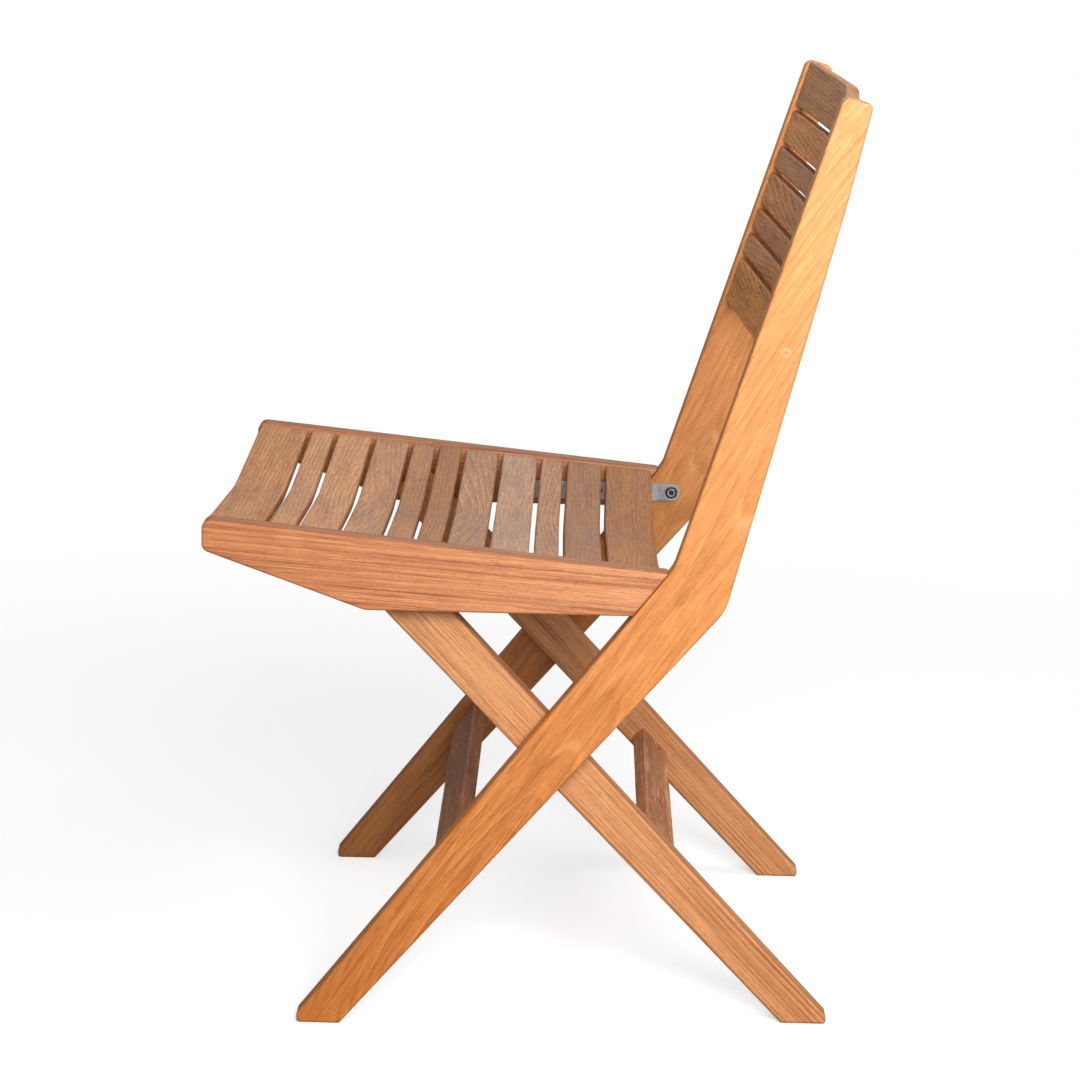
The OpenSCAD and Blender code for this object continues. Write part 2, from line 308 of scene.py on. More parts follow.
def teak_figure():
    """Shader group: growth rings, streaks, pores and pale flecks of sawn teak."""
    tree, inside, outside = new_tree(
        "Teak Figure", "ShaderNodeTree",
        [("Grain", "NodeSocketVector", None), ("Board", "NodeSocketFloat", 0.0),
         ("Stretch", "NodeSocketFloat", 1.0), ("Ring Spacing", "NodeSocketFloat", 5.0),
         ("Wander", "NodeSocketFloat", 16.0), ("Arch", "NodeSocketFloat", 0.0)],
        [("Rings", "NodeSocketFloat"), ("Streaks", "NodeSocketFloat"),
         ("Pores", "NodeSocketFloat"), ("Flecks", "NodeSocketFloat"),
         ("Clouds", "NodeSocketFloat")])
    place = vector_maths(tree, "SCALE", inside.outputs["Grain"])
    place.node.inputs["Scale"].default_value = 1 / MM
    parts = add(tree, "ShaderNodeSeparateXYZ", {0: place})
    away = maths(tree, "MULTIPLY", inside.outputs["Board"], BOARD_SPACING)
    run = maths(tree, "MULTIPLY", parts.outputs["X"], inside.outputs["Stretch"])
    spread = add(tree, "ShaderNodeCombineXYZ", {
        "X": maths(tree, "ADD", run, away), "Y": parts.outputs["Y"], "Z": parts.outputs["Z"]})
    seeded = spread.outputs[0]
    drift = maths(tree, "SUBTRACT", fibres(tree, seeded, 260, 45, 1.0), 0.5)
    shift = maths(tree, "MULTIPLY", drift, inside.outputs["Wander"])
    squared = maths(tree, "POWER", maths(tree, "ABSOLUTE", parts.outputs["X"]), 2.0)
    bow = maths(tree, "MULTIPLY", squared, inside.outputs["Arch"])
    across = maths(tree, "ADD", parts.outputs["Y"], shift)
    through = maths(tree, "SUBTRACT", maths(tree, "ADD", parts.outputs["Z"], shift), bow)
    reach = maths(
        tree, "SQRT",
        maths(tree, "ADD", maths(tree, "MULTIPLY", across, across),
              maths(tree, "MULTIPLY", through, through)))
    turn = maths(tree, "FRACT", maths(tree, "DIVIDE", reach, inside.outputs["Ring Spacing"]))
    late = maths(tree, "MULTIPLY", ramp(tree, turn, 0.45, 0.92), ramp(tree, turn, 1.0, 0.95))
    rings = maths(tree, "MULTIPLY", late, ramp(tree, fibres(tree, seeded, 120, 12), 0.30, 0.62))
    lean = add(tree, "ShaderNodeCombineXYZ", {"Y": shift, "Z": shift})
    leaned = vector_maths(tree, "ADD", seeded, lean.outputs[0])
    broad = fibres(tree, leaned, 420, 11, 2.0)
    middle = fibres(tree, leaned, 240, 2.4, 2.0)
    fine = fibres(tree, leaned, 110, 0.95, 3.0)
    streaks = maths(tree, "ADD", maths(tree, "MULTIPLY", broad, 0.34),
                    maths(tree, "ADD", maths(tree, "MULTIPLY", middle, 0.24),
                          maths(tree, "MULTIPLY", fine, 0.42)))
    short = ramp(tree, fibres(tree, leaned, 7, 0.9, 1.0), 0.56, 0.66)
    lines = ramp(tree, fibres(tree, leaned, 300, 1.1, 1.0), 0.55, 0.62)
    pores = maths(tree, "MAXIMUM", maths(tree, "MULTIPLY", lines, 0.75), short)
    pale_line = maths(tree, "MULTIPLY", ramp(tree, turn, 0.0, 0.07), ramp(tree, turn, 0.30, 0.12))
    patches = ramp(tree, fibres(tree, seeded, 70, 22, 2.0), 0.50, 0.64)
    specks = ramp(tree, fibres(tree, leaned, 34, 0.9, 1.0), 0.58, 0.70)
    flecks = maths(tree, "MAXIMUM", maths(tree, "MULTIPLY", pale_line, patches), specks)
    clouds = ramp(tree, fibres(tree, leaned, 34, 11, 3.0), 0.40, 0.66)
    for label, value in (("Rings", rings), ("Streaks", streaks), ("Pores", pores),
                         ("Flecks", flecks), ("Clouds", clouds)):
        feed(tree, outside.inputs[label], value)
    return tree


def teak_surface():
    """Shader group: colour, roughness and height of a sanded board from its figure."""
    tree, inside, outside = new_tree(
        "Teak Surface", "ShaderNodeTree",
        [("Pale", "NodeSocketColor", None), ("Deep", "NodeSocketColor", None),
         ("Rings", "NodeSocketFloat", 0.0), ("Streaks", "NodeSocketFloat", 0.5),
         ("Pores", "NodeSocketFloat", 0.0), ("Flecks", "NodeSocketFloat", 0.0),
         ("Clouds", "NodeSocketFloat", 0.0), ("Ring Strength", "NodeSocketFloat", 0.5),
         ("Streak Strength", "NodeSocketFloat", 0.6), ("Cloud Strength", "NodeSocketFloat", 0.2),
         ("Tone", "NodeSocketFloat", 0.0), ("Grey", "NodeSocketFloat", 0.0),
         ("Warmth", "NodeSocketFloat", 0.0), ("Fleck Strength", "NodeSocketFloat", 0.2),
         ("Pore Strength", "NodeSocketFloat", 0.4)],
        [("Color", "NodeSocketColor"), ("Roughness", "NodeSocketFloat"),
         ("Height", "NodeSocketFloat")])
    ringed = maths(tree, "MULTIPLY", inside.outputs["Rings"], inside.outputs["Ring Strength"])
    streaked = maths(tree, "MULTIPLY", ramp(tree, inside.outputs["Streaks"], 0.60, 0.36),
                     inside.outputs["Streak Strength"])
    glow = maths(tree, "MULTIPLY", inside.outputs["Clouds"], inside.outputs["Cloud Strength"])
    dark = maths(tree, "SUBTRACT", maths(tree, "ADD", ringed, streaked), glow)
    share = maths(tree, "ADD", dark, 0.12)
    mixed = blend(tree, share, inside.outputs["Pale"], inside.outputs["Deep"])
    mixed.node.clamp_factor = False
    bored = maths(tree, "MULTIPLY", inside.outputs["Pores"], inside.outputs["Pore Strength"])
    pored = blend(tree, bored, mixed, (0.50, 0.38, 0.30, 1), "MULTIPLY")
    shown = maths(tree, "MULTIPLY", inside.outputs["Flecks"], inside.outputs["Fleck Strength"])
    flecked = blend(tree, shown, pored, (1.0, 0.68, 0.37, 1))
    warmed = blend(tree, inside.outputs["Warmth"], flecked, (0.92, 0.52, 0.15, 1), "MULTIPLY")
    toned = add(
        tree, "ShaderNodeHueSaturation",
        {"Saturation": maths(tree, "SUBTRACT", 1.0, inside.outputs["Grey"]),
         "Value": maths(tree, "SUBTRACT", 1.0, inside.outputs["Tone"]), "Color": warmed})
    feed(tree, outside.inputs["Color"], toned.outputs["Color"])
    feed(tree, outside.inputs["Roughness"],
         ramp(tree, inside.outputs["Streaks"], 0.3, 0.7, 0.50, 0.62))
    height = maths(tree, "SUBTRACT", maths(tree, "MULTIPLY", inside.outputs["Streaks"], 0.8),
                   inside.outputs["Pores"])
    feed(tree, outside.inputs["Height"], height)
    return tree


def filled_knot():
    """Shader group: pale rim and dark heart of a small filled knot."""
    tree, inside, outside = new_tree(
        "Filled Knot", "ShaderNodeTree",
        [("Position", "NodeSocketVector", None), ("Place", "NodeSocketVector", None),
         ("Size", "NodeSocketFloat", 4 * MM)],
        [("Rim", "NodeSocketFloat"), ("Heart", "NodeSocketFloat")])
    wobble = add(tree, "ShaderNodeTexNoise", {"Scale": 240.0, "Detail": 3.0})
    feed(tree, wobble.inputs["Vector"], inside.outputs["Position"])
    offset = vector_maths(tree, "SUBTRACT", inside.outputs["Position"], inside.outputs["Place"])
    reach = maths(tree, "DIVIDE", vector_maths(tree, "LENGTH", offset).node.outputs["Value"],
                  inside.outputs["Size"])
    rough = maths(tree, "ADD", reach, maths(tree, "MULTIPLY", wobble.outputs["Fac"], 1.1))
    rim = maths(tree, "MULTIPLY", ramp(tree, rough, 0.9, 1.25), ramp(tree, rough, 1.8, 1.35))
    feed(tree, outside.inputs["Rim"], rim)
    feed(tree, outside.inputs["Heart"], ramp(tree, rough, 0.95, 0.55))
    return tree


def brushed_lines():
    """Shader group: fine scratches and cloudy roughness of brushed steel."""
    tree, inside, outside = new_tree(
        "Brushed Lines", "ShaderNodeTree", [("Position", "NodeSocketVector", None)],
        [("Roughness", "NodeSocketFloat"), ("Height", "NodeSocketFloat"),
         ("Shade", "NodeSocketFloat")])
    place = vector_maths(tree, "SCALE", inside.outputs["Position"])
    place.node.inputs["Scale"].default_value = 1 / MM
    drawn = vector_maths(tree, "MULTIPLY", place, (6.0, 0.12, 6.0))
    scratches = add(tree, "ShaderNodeTexNoise", {"Vector": drawn, "Scale": 1.0, "Detail": 3.0})
    clouds = add(tree, "ShaderNodeTexNoise", {"Vector": place, "Scale": 0.15, "Detail": 3.0})
    feed(tree, outside.inputs["Roughness"], ramp(tree, clouds.outputs["Fac"], 0.3, 0.7, 0.26, 0.42))
    feed(tree, outside.inputs["Height"], scratches.outputs["Fac"])
    feed(tree, outside.inputs["Shade"], ramp(tree, scratches.outputs["Fac"], 0.3, 0.7, 0.82, 1.0))
    return tree


def once(name, build):
    """Node group of that name, built if there is none."""
    return bpy.data.node_groups.get(name) or build()


def new_material(name):
    """Material with its node tree and Principled BSDF."""
    made = bpy.data.materials.new(name)
    made.use_nodes = True
    return made, made.node_tree, made.node_tree.nodes["Principled BSDF"]


def object_place(tree):
    """Position on the object, from a new coordinate node."""
    return add(tree, "ShaderNodeTexCoord").outputs["Object"]


def teak(name, pale, deep, figure, strengths, streak_fade=None, knot=None):
    """Teak material that reads each board's own grain and tone, and the shade painted into some
    boards.

    A streak fade is the arguments of a ramp over height; a knot is its place and radius.
    """
    found = bpy.data.materials.get(name)
    if found:
        return found
    made, tree, shader = new_material(name)
    grown = add(tree, "ShaderNodeGroup", node_tree=once("Teak Figure", teak_figure))
    surface = add(tree, "ShaderNodeGroup", node_tree=once("Teak Surface", teak_surface))
    grain = add(tree, "ShaderNodeAttribute", attribute_name="grain")
    feed(tree, grown.inputs["Grain"], grain.outputs["Vector"])
    for label, group, name_in_mesh in (
            ("Board", grown, "board"), ("Tone", surface, "tone_and_shade"), ("Grey", surface, "grey"),
            ("Warmth", surface, "warmth_and_shade")):
        own = add(tree, "ShaderNodeAttribute", attribute_name=name_in_mesh)
        feed(tree, group.inputs[label], own.outputs["Fac"])
    for label, value in figure.items():
        feed(tree, grown.inputs[label], value)
    for label, value in strengths.items():
        feed(tree, surface.inputs[label], value)
    for label in ("Rings", "Streaks", "Pores", "Flecks", "Clouds"):
        feed(tree, surface.inputs[label], grown.outputs[label])
    feed(tree, surface.inputs["Pale"], (*pale, 1))
    feed(tree, surface.inputs["Deep"], (*deep, 1))
    if streak_fade:
        height = add(tree, "ShaderNodeSeparateXYZ", {0: object_place(tree)}).outputs["Z"]
        feed(tree, surface.inputs["Streak Strength"], ramp(tree, height, *streak_fade))
    wood = surface.outputs["Color"]
    if knot:
        mark = add(tree, "ShaderNodeGroup", node_tree=once("Filled Knot", filled_knot))
        feed(tree, mark.inputs["Position"], object_place(tree))
        feed(tree, mark.inputs["Place"], knot[0])
        feed(tree, mark.inputs["Size"], knot[1])
        rimmed = maths(tree, "MULTIPLY", mark.outputs["Rim"], 0.24)
        wood = blend(tree, rimmed, wood, (0.95, 0.74, 0.52, 1))
        hearted = maths(tree, "MULTIPLY", mark.outputs["Heart"], 0.20)
        wood = blend(tree, hearted, wood, (0.42, 0.22, 0.12, 1))
    bump = add(tree, "ShaderNodeBump", {"Strength": 0.4, "Distance": 0.12 * MM})
    feed(tree, bump.inputs["Height"], surface.outputs["Height"])
    feed(tree, shader.inputs["Base Color"], wood)
    feed(tree, shader.inputs["Roughness"], surface.outputs["Roughness"])
    feed(tree, shader.inputs["Normal"], bump.outputs["Normal"])
    shader.inputs["IOR"].default_value = 1.42
    return made


def brushed_steel(name, tint):
    """Brushed steel of a tint."""
    found = bpy.data.materials.get(name)
    if found:
        return found
    made, tree, shader = new_material(name)
    lines = add(tree, "ShaderNodeGroup", node_tree=once("Brushed Lines", brushed_lines))
    feed(tree, lines.inputs["Position"], object_place(tree))
    shade = blend(tree, lines.outputs["Shade"], (0, 0, 0, 1), (*tint, 1))
    bump = add(tree, "ShaderNodeBump", {"Strength": 0.15, "Distance": 0.05 * MM})
    feed(tree, bump.inputs["Height"], lines.outputs["Height"])
    feed(tree, shader.inputs["Base Color"], shade)
    feed(tree, shader.inputs["Roughness"], lines.outputs["Roughness"])
    feed(tree, shader.inputs["Normal"], bump.outputs["Normal"])
    shader.inputs["Metallic"].default_value = 1.0
    return made


def stainless():
    """Bright brushed stainless steel."""
    return brushed_steel("stainless steel", bpy.context.scene.chair_metal.steel)


def shadowed_steel():
    """Near-black steel on a bolt head's side and groove, and painted shade in its socket."""
    return brushed_steel("near-black steel", bpy.context.scene.chair_metal.near_black)


def nylon():
    """Black nylon with a faint moulded texture."""
    found = bpy.data.materials.get("nylon")
    if found:
        return found
    made, tree, shader = new_material("nylon")
    dark = bpy.context.scene.chair_metal.nylon
    speckle = add(tree, "ShaderNodeTexNoise", {"Scale": 1500.0, "Detail": 2.0})
    feed(tree, speckle.inputs["Vector"], object_place(tree))
    shade = blend(tree, speckle.outputs["Fac"], (*dark, 1), tuple(2 * c for c in dark) + (1,))
    feed(tree, shader.inputs["Base Color"], shade)
    feed(tree, shader.inputs["Roughness"], ramp(tree, speckle.outputs["Fac"], 0.3, 0.7, 0.45, 0.6))
    return made


def post_teak():
    """Golden teak with an arched figure at the bend."""
    wood = bpy.context.scene.chair_wood
    place = Vector((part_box("side_post_left")[1].x, wood.knot_y, wood.knot_z))
    return teak("teak post", wood.post_pale, wood.post_deep,
                {"Ring Spacing": 6.5, "Wander": 7.0, "Arch": 0.00042},
                {"Ring Strength": 0.40, "Cloud Strength": 0.24,
                 "Fleck Strength": 0.30, "Pore Strength": 0.32},
                STREAK_FADE, (place, wood.knot_size))


def rail_teak():
    """Reddish teak with fine straight lines."""
    wood = bpy.context.scene.chair_wood
    return teak("teak rail", wood.rail_pale, wood.rail_deep,
                {"Ring Spacing": 3.1, "Wander": 4.0},
                {"Ring Strength": 0.42, "Streak Strength": 0.80, "Cloud Strength": 0.14})


def leg_teak():
    """Straight-grained teak with fine dark lines."""
    wood = bpy.context.scene.chair_wood
    return teak("teak leg", wood.leg_pale, wood.leg_deep,
                {"Ring Spacing": 2.7, "Wander": 4.0},
                {"Ring Strength": 0.50, "Streak Strength": 0.72, "Cloud Strength": 0.14})


def stretcher_teak():
    """Brown teak of the stretchers."""
    wood = bpy.context.scene.chair_wood
    return teak("teak stretcher", wood.stretcher_pale, wood.stretcher_deep,
                {"Ring Spacing": 4.5, "Wander": 9.0},
                {"Ring Strength": 0.50, "Streak Strength": 0.95, "Cloud Strength": 0.22,
                 "Fleck Strength": 0.35})


def seat_teak():
    """Weathered teak of the seat slats."""
    wood = bpy.context.scene.chair_wood
    return teak("teak seat slat", wood.seat_pale, wood.seat_deep,
                {"Ring Spacing": 3.6, "Wander": 5.0, "Arch": 0.00004, "Stretch": 0.3},
                {"Ring Strength": 0.40, "Streak Strength": 0.70, "Cloud Strength": 0.20,
                 "Fleck Strength": 0.30, "Pore Strength": 0.45})


def back_teak():
    """Brown teak of the back slats."""
    wood = bpy.context.scene.chair_wood
    return teak("teak back slat", wood.back_pale, wood.back_deep,
                {"Ring Spacing": 3.8, "Wander": 5.0, "Arch": 0.00004, "Stretch": 0.4},
                {"Ring Strength": 0.50, "Streak Strength": 0.80, "Cloud Strength": 0.18,
                 "Fleck Strength": 0.30})


# ---- Boards ----

def new_piece(name, mesh):
    """Object of a mesh in the scene."""
    piece = bpy.data.objects.new(name, mesh)
    bpy.context.scene.collection.objects.link(piece)
    return piece


def prism(name, points, direction, thickness):
    """Board with that outline and thickness, drawn back from its outer face."""
    step = -Vector(direction) * thickness
    mesh = bmesh.new()
    near = [mesh.verts.new(p) for p in points]
    far = [mesh.verts.new(p + step) for p in points]
    mesh.faces.new(near)
    mesh.faces.new(list(reversed(far)))
    for i, vert in enumerate(near):
        before = i - 1
        mesh.faces.new((near[before], far[before], far[i], vert))
    bmesh.ops.recalc_face_normals(mesh, faces=mesh.faces)
    data = bpy.data.meshes.new(name)
    mesh.to_mesh(data)
    mesh.free()
    return new_piece(name, data)


def soften(piece, radius, steps=4):
    """Rounds the sharp edges of a piece and keeps its flats flat."""
    piece.data.polygons.foreach_set("use_smooth", [True] * len(piece.data.polygons))
    edge = piece.modifiers.new("Edges", "BEVEL")
    edge.width = radius
    edge.segments = steps
    edge.limit_method = "ANGLE"
    edge.angle_limit = math.radians(35)
    flats = piece.modifiers.new("Flats", "WEIGHTED_NORMAL")
    flats.weight = 100
    flats.keep_sharp = True


def log_offset(seed):
    """Place of a board in its log, in metres from the heart: along, across and through."""
    draw = random.Random(seed)
    across = draw.choice((-1, 1)) * draw.uniform(0.03, 0.06)
    return Vector((draw.uniform(-0.1, 0.1), across, draw.uniform(0.02, 0.07)))


def store(data, name, values):
    """Stores numbers or vectors on the points of a mesh."""
    vectors = isinstance(values[0], Vector)
    made = data.attributes.new(name, "FLOAT_VECTOR" if vectors else "FLOAT", "POINT")
    flat = [number for vector in values for number in vector] if vectors else values
    made.data.foreach_set("vector" if vectors else "value", flat)


def mark_grain(piece, direction, middle, offset, seed, tone_and_shade=(0, 0, 0, 0), warmth_and_shade=(0, 0, 0, 0)):
    """Stores each point's place in the log, and the board's number, tone and warmth.

    A tone or a warmth is its value at the middle, and its growth each metre along X, Y and Z; on
    the posts, the rails and the front stretcher they hold painted shade.
    """
    along = Vector(direction).normalized()
    through = Vector((1, 0, 0)) if abs(along.x) < 0.5 else Vector((0, 0, 1))
    across = through.cross(along).normalized()
    turn = Matrix((along, across, through))
    places = [vert.co - Vector(middle) for vert in piece.data.vertices]
    store(piece.data, "grain", [turn @ place + offset for place in places])
    for name, value in (("tone_and_shade", tone_and_shade), ("warmth_and_shade", warmth_and_shade)):
        slope = Vector(value[1:])
        store(piece.data, name, [value[0] + slope.dot(place) for place in places])
    store(piece.data, "grey", [0.0] * len(places))
    store(piece.data, "board", [float(seed)] * len(places))


def finish_board(piece, node, body, material, edge):
    """Edges, material and place on the frame of a board."""
    soften(piece, edge)
    piece.data.materials.append(material)
    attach(piece, body)
    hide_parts(node)


def side_board(name, node, side):
    """Board of a side frame, from its outline in the frame."""
    outward = (SIDES[side], 0, 0)
    low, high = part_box(node)
    return prism(name, side_outline(node, outward), outward, high.x - low.x)


def centre(node):
    """Middle of a node's box."""
    low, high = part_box(node)
    return (low + high) / 2


def grain_line(angle_up):
    """Direction in the side view, at an angle in radians from the floor."""
    return (0, math.cos(angle_up), math.sin(angle_up))


class CHAIR_OT_side_posts(Operator):
    """Build the two bent side posts."""
    bl_idname = "chair.side_posts"
    bl_label = "Side Posts"

    def execute(self, context):
        wood = context.scene.chair_wood
        for seed, side in enumerate(SIDES):
            node = f"side_post_{side}"
            piece = side_board(f"post_board_{side}", node, side)
            knee = Vector((centre(node).x, *POST_KNEE))
            # Tone and warmth paint shade into the post: darker and warmer towards the floor.
            offset, tone_and_shade, warmth_and_shade = POST_GRAIN_AND_SHADE[side]
            mark_grain(piece, grain_line(wood.post_grain), knee, Vector(offset), 11 + seed,
                       tone_and_shade, warmth_and_shade)
            finish_board(piece, node, "frame", post_teak(), wood.board_edge)
        return {"FINISHED"}


class CHAIR_OT_seat_rails(Operator):
    """Build the two rails that carry the seat slats."""
    bl_idname = "chair.seat_rails"
    bl_label = "Seat Rails"

    def execute(self, context):
        wood = context.scene.chair_wood
        for seed, side in enumerate(SIDES):
            node = f"seat_rail_{side}"
            piece = side_board(f"rail_board_{side}", node, side)
            # Painted shade: the rail is darker on its inner face, where the slats shade it, and
            # darker and warmer towards the front, where less light falls.
            tone_and_shade = (0.13, -5 * SIDES[side], -0.45, 0)
            mark_grain(piece, grain_line(RAIL_GRAIN), centre(node), log_offset(20 + seed),
                       21 + seed, tone_and_shade, (0.36, 0, -0.7, 0))
            finish_board(piece, node, "seat", rail_teak(), wood.board_edge)
        return {"FINISHED"}


class CHAIR_OT_rear_legs(Operator):
    """Build the two straight rear legs."""
    bl_idname = "chair.rear_legs"
    bl_label = "Rear Legs"

    def execute(self, context):
        wood = context.scene.chair_wood
        for seed, side in enumerate(SIDES):
            node = f"rear_leg_{side}"
            piece = side_board(f"leg_board_{side}", node, side)
            mark_grain(piece, grain_line(LEG_GRAIN), centre(node), log_offset(30 + seed),
                       31 + seed, (0.03, 0, 0, 0), (0.28, 0, 0, -0.4))
            finish_board(piece, node, "legs", leg_teak(), wood.leg_edge)
        return {"FINISHED"}


class CHAIR_OT_stretchers(Operator):
    """Build the front and rear stretchers."""
    bl_idname = "chair.stretchers"
    bl_label = "Stretchers"

    def execute(self, context):
        wood = context.scene.chair_wood
        bars = (("front_stretcher", "frame"), ("rear_stretcher", "legs"))
        for seed, (node, body) in enumerate(bars):
            points = side_outline(node, (1, 0, 0))
            piece = prism(f"{node}_bar", points, (1, 0, 0), 2 * points[0].x)
            # The front stretcher's darker tone is partly its own and partly painted shade; the rear
            # one is lighter.
            tone_and_shade = (0.24, 0, 0, 0) if body == "frame" else (-0.16, 0, 0, 0)
            mark_grain(piece, (1, 0, 0), centre(node), log_offset(40 + seed), 41 + seed, tone_and_shade,
                       (0.45, 0, 0, 0))
            finish_board(piece, node, body, stretcher_teak(), wood.slat_edge)
        return {"FINISHED"}


# ---- Slats ----

def slat_row_tree():
    """Geometry nodes: a hollowed slat on each point of a row, as wide as that point says."""
    tree, inside, outside = new_tree(
        "Slat Row", "GeometryNodeTree",
        [("Row", "NodeSocketGeometry", None), ("Half Span", "NodeSocketFloat", 0.232),
         ("Hollow", "NodeSocketFloat", 0.017), ("Thickness", "NodeSocketFloat", 0.012),
         ("Bend", "NodeSocketFloat", 0.018), ("Tilt", "NodeSocketFloat", 0.0),
         ("Wood", "NodeSocketMaterial", None)],
        [("Slats", "NodeSocketGeometry")])
    sizes = inside.outputs
    span = maths(tree, "MULTIPLY", sizes["Half Span"], 2.0)
    block_size = add(tree, "ShaderNodeCombineXYZ", {"X": span, "Y": 1.0, "Z": sizes["Thickness"]})
    block = add(
        tree, "GeometryNodeMeshCube",
        {"Size": block_size.outputs[0], "Vertices X": 65, "Vertices Y": 2, "Vertices Z": 2})
    position = add(tree, "GeometryNodeInputPosition").outputs[0]
    place = add(tree, "ShaderNodeSeparateXYZ", {0: position})
    away = maths(
        tree, "SQRT",
        maths(tree, "ADD", maths(tree, "POWER", maths(tree, "ABSOLUTE", place.outputs["X"]), 2.0),
              maths(tree, "POWER", sizes["Bend"], 2.0)))
    share = maths(tree, "SUBTRACT", 1.0, maths(tree, "DIVIDE", away, sizes["Half Span"]))
    sunk = maths(tree, "MULTIPLY", share, sizes["Hollow"])
    drop = maths(tree, "ADD", sunk, maths(tree, "MULTIPLY", sizes["Thickness"], 0.5))
    down = add(tree, "ShaderNodeCombineXYZ", {"Z": maths(tree, "MULTIPLY", drop, -1.0)})
    bent = add(
        tree, "GeometryNodeSetPosition",
        {"Geometry": block.outputs["Mesh"], "Offset": down.outputs[0]})
    marked = add(
        tree, "GeometryNodeStoreNamedAttribute",
        {"Geometry": bent.outputs[0], "Name": "local", "Value": position},
        data_type="FLOAT_VECTOR", domain="POINT")
    width = add(tree, "GeometryNodeInputNamedAttribute", {"Name": "width"}, data_type="FLOAT")
    scale = add(tree, "ShaderNodeCombineXYZ", {"X": 1.0, "Y": width.outputs[0], "Z": 1.0})
    turn = add(tree, "ShaderNodeCombineXYZ", {"X": sizes["Tilt"]})
    row = add(
        tree, "GeometryNodeInstanceOnPoints",
        {"Points": sizes["Row"], "Instance": marked.outputs[0],
         "Rotation": turn.outputs[0], "Scale": scale.outputs[0]})
    real = add(tree, "GeometryNodeRealizeInstances", {"Geometry": row.outputs[0]})
    local, log = (
        add(tree, "GeometryNodeInputNamedAttribute", {"Name": name}, data_type="FLOAT_VECTOR")
        for name in ("local", "log_place"))
    drawn = vector_maths(tree, "MULTIPLY", local.outputs[0], scale.outputs[0])
    grained = add(
        tree, "GeometryNodeStoreNamedAttribute",
        {"Geometry": real.outputs[0], "Name": "grain",
         "Value": vector_maths(tree, "ADD", drawn, log.outputs[0])},
        data_type="FLOAT_VECTOR", domain="POINT")
    coated = add(
        tree, "GeometryNodeSetMaterial",
        {"Geometry": grained.outputs[0], "Material": sizes["Wood"]})
    feed(tree, outside.inputs["Slats"], coated.outputs[0])
    return tree


def run_tree(name, start, tree, values):
    """Plain mesh object that a geometry node tree makes from a starting mesh."""
    source = new_piece(name + "_source", start)
    modifier = source.modifiers.new("Nodes", "NODES")
    modifier.node_group = tree
    for item in tree.interface.items_tree:
        if item.item_type == "SOCKET" and item.in_out == "INPUT" and item.name in values:
            modifier[item.identifier] = values[item.name]
    graph = bpy.context.evaluated_depsgraph_get()
    data = bpy.data.meshes.new_from_object(source.evaluated_get(graph))
    data.name = name
    source.modifiers.remove(modifier)
    bpy.data.objects.remove(source)
    return new_piece(name, data)


def slat_row(name, nodes, body, material, edge, seed, tones, greys, warmths):
    """One piece with all the slats of a body."""
    shapes = [SlatShape(node) for node in nodes]
    start = bpy.data.meshes.new(name + "_row")
    start.from_pydata([s.middle for s in shapes], [], [])
    store(start, "width", [shape.width for shape in shapes])
    store(start, "tone_and_shade", list(tones))
    store(start, "grey", list(greys))
    store(start, "warmth_and_shade", list(warmths))
    store(start, "board", [float(seed + i) for i in range(len(shapes))])
    store(start, "log_place", [log_offset(seed + i) for i in range(len(shapes))])
    first = shapes[0]
    slope = first.hollow / first.half_span
    depth = first.hollow + SLAT_BEND_RADIUS * slope * slope / 2
    piece = run_tree(
        name, start, once("Slat Row", slat_row_tree),
        {"Half Span": first.half_span, "Hollow": depth, "Thickness": first.thickness,
         "Bend": SLAT_BEND_RADIUS * slope / 2, "Tilt": first.tilt, "Wood": material})
    soften(piece, edge, 3)
    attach(piece, body)
    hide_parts(*nodes)


class CHAIR_OT_seat_slats(Operator):
    """Build the hollowed slats of the seat."""
    bl_idname = "chair.seat_slats"
    bl_label = "Seat Slats"

    def execute(self, context):
        tones = (-0.06, -0.10, -0.16, -0.06, 0.06, 0.14, 0.0, -0.12, -0.02, 0.18, 0.12)
        greys = (-0.06, 0.0, 0.0, 0.0, -0.05, -0.08, 0.04, 0.16, 0.04, 0.0, -0.10)
        warmths = (0.20, 0.16, 0.18, 0.16, 0.22, 0.26, 0.18, 0.10, 0.18, 0.34, 0.36)
        slat_row("seat_slats", SEAT_SLATS, "seat", seat_teak(),
                 context.scene.chair_wood.slat_edge, 100, tones, greys, warmths)
        return {"FINISHED"}


class CHAIR_OT_back_slats(Operator):
    """Build the hollowed slats of the back."""
    bl_idname = "chair.back_slats"
    bl_label = "Back Slats"

    def execute(self, context):
        tones = (0.02, -0.22, 0.06, -0.16, 0.08, -0.02, -0.18)
        greys = (0.0, -0.05, 0.05, 0.0, 0.0, 0.0, -0.08)
        warmths = (0.12, 0.12, 0.18, 0.12, 0.18, 0.12, 0.08)
        slat_row("back_slats", BACK_SLATS, "frame", back_teak(),
                 context.scene.chair_wood.slat_edge, 200, tones, greys, warmths)
        return {"FINISHED"}


# ---- Folding hardware ----

